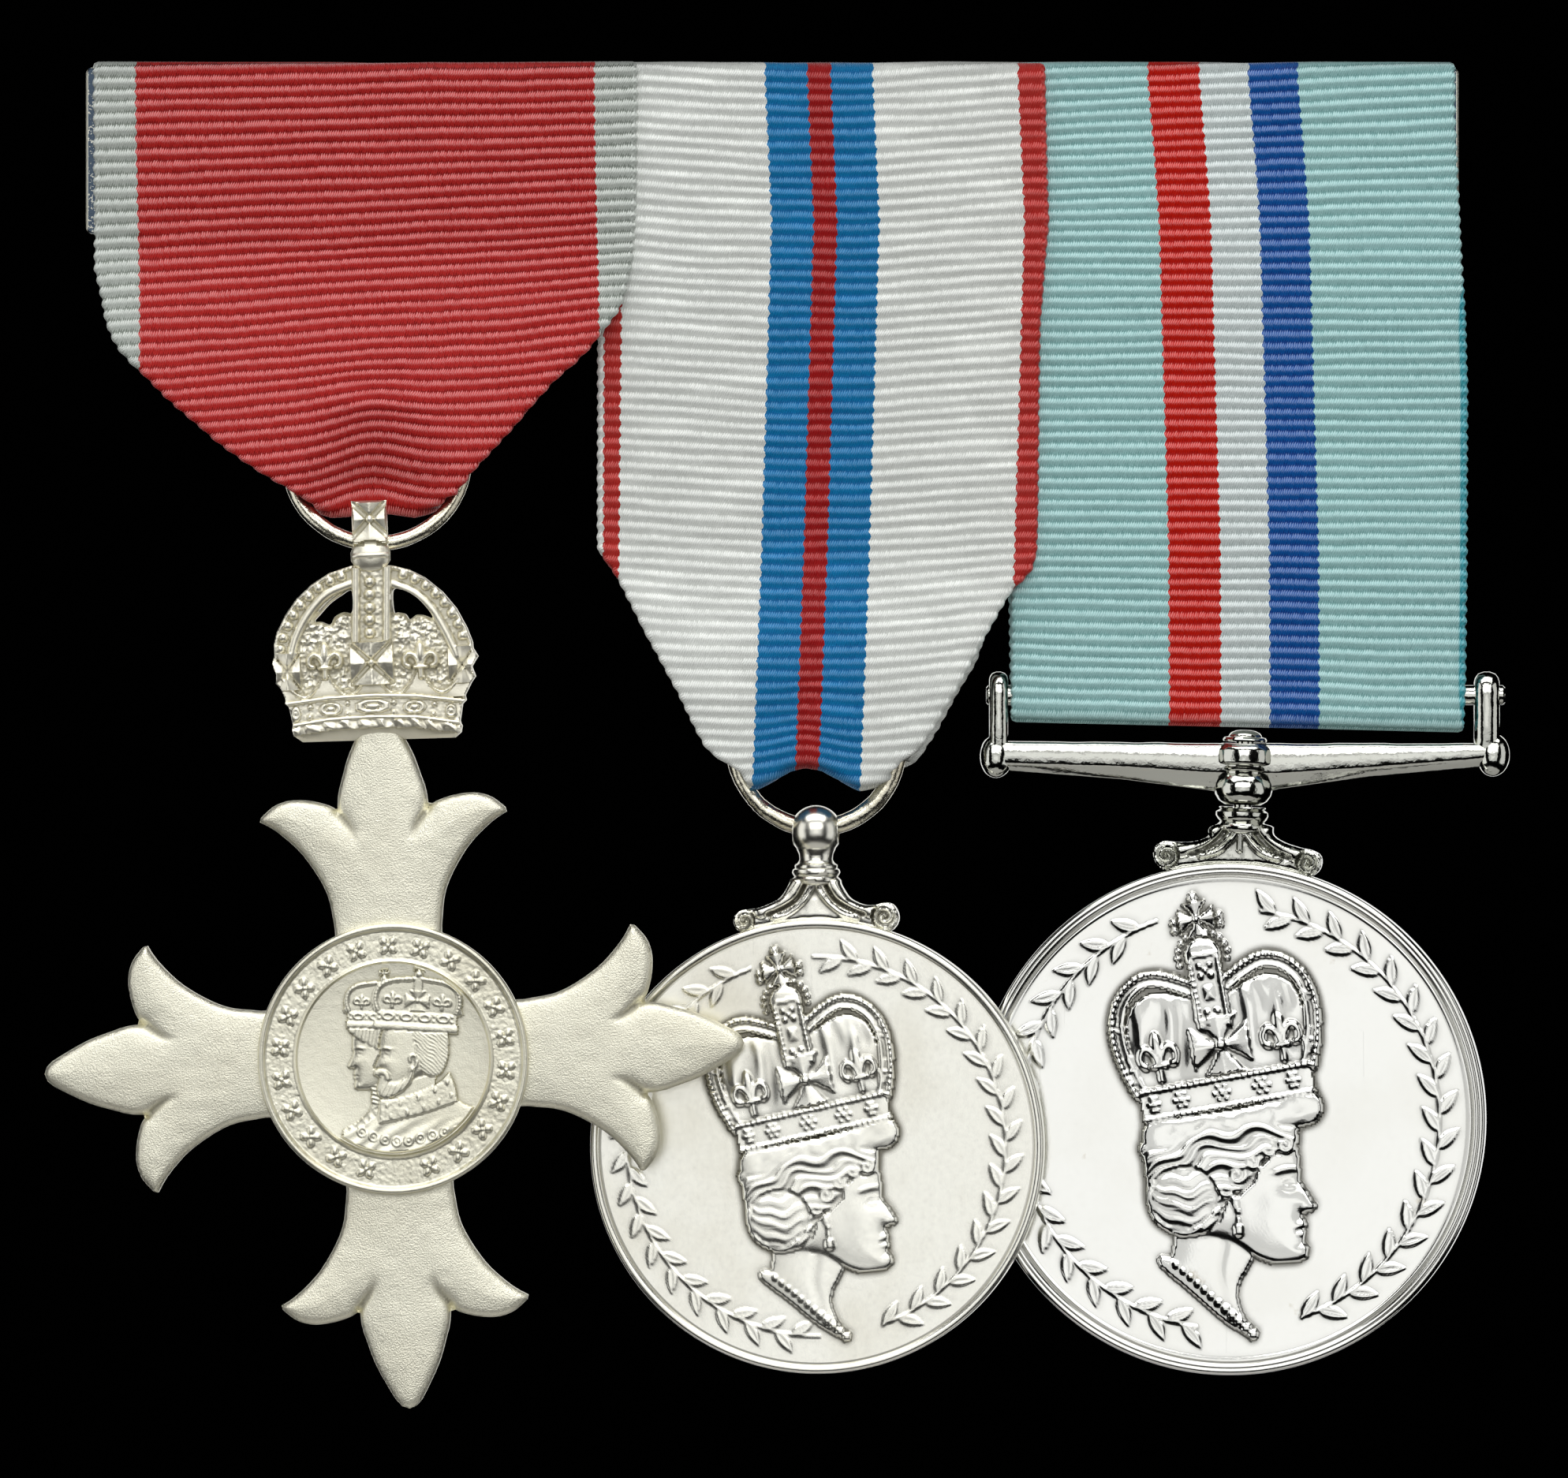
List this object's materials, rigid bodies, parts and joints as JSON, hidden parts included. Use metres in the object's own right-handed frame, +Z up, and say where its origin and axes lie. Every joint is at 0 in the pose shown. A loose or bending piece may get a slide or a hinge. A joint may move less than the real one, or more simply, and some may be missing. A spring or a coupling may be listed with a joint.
{
  "type": "mounted medal group",
  "caption": "Court of honours on one brooch bar: a crowned cross badge and round medals hanging from striped ribbons.",
  "frame": {"origin": "centre of the brooch bar on its back face, where the group pins on to clothing", "axes": "+Z up, -Y towards the viewer (front), +Y into the cloth it is pinned to, +X to the viewer's right along the bar"},
  "size_m": [0.1032, 0.0092, 0.0955],
  "materials": {
    "bar_silver": "satin plated plate with fine scratches",
    "pin_steel": "plain drawn wire and blocks",
    "ribbon_crimson": "ribbed moire ribbon, crimson with pearl-grey edge stripes",
    "ribbon_white": "ribbed ribbon, white with red edges, blue centre and thin red line",
    "ribbon_aqua": "ribbed ribbon, pale blue-green with red, white and dark-blue centre stripes",
    "ring_silver": "worn silver wire",
    "badge_silver": "frosted silver with polished edges",
    "medallion_silver": "frosted silver, struck relief",
    "middle_silver": "satin polished silver, toned in the recesses",
    "right_silver": "bright plated silver, lightly spotted"
  },
  "bodies": {
    "bar_and_ribbons": {"mounting_bar": "bar_silver", "brooch_pin": "pin_steel", "ribbon_left": "ribbon_crimson", "ribbon_middle": "ribbon_white", "ribbon_right": "ribbon_aqua", "ring_left": "ring_silver", "ring_middle": "ring_silver", "ribbon_rod": "right_silver"},
    "badge": {"cross_badge": "badge_silver", "centre_medallion": "medallion_silver"},
    "middle_medal": {"medal_middle": "middle_silver"},
    "suspender": {"suspender_bar": "right_silver"},
    "right_medal": {"medal_right": "right_silver"}
  },
  "joints": [
    {"name": "cross_swing", "type": "hinge", "parent": "bar_and_ribbons", "child": "badge", "pos_m": [-0.0282, -0.0041, -0.02775], "axis": [-1, 0, 0], "range_deg": [0, 20]},
    {"name": "middle_swing", "type": "hinge", "parent": "bar_and_ribbons", "child": "middle_medal", "pos_m": [0.0031, -0.0012, -0.04775], "axis": [-1, 0, 0], "range_deg": [0, 20]},
    {"name": "suspender_swing", "type": "hinge", "parent": "bar_and_ribbons", "child": "suspender", "pos_m": [0.0333, 0, -0.0384], "axis": [1, 0, 0], "range_deg": [0, 60]},
    {"name": "right_swivel", "type": "hinge", "parent": "suspender", "child": "right_medal", "pos_m": [0.03327, -0.00009, -0.04402], "axis": [-0.04, 0.0035, -0.9992], "range_deg": [0, 120]}
  ],
  "couplings": [
    {"joint": "middle_swing", "follows": "cross_swing", "ratio": 1}
  ]
}
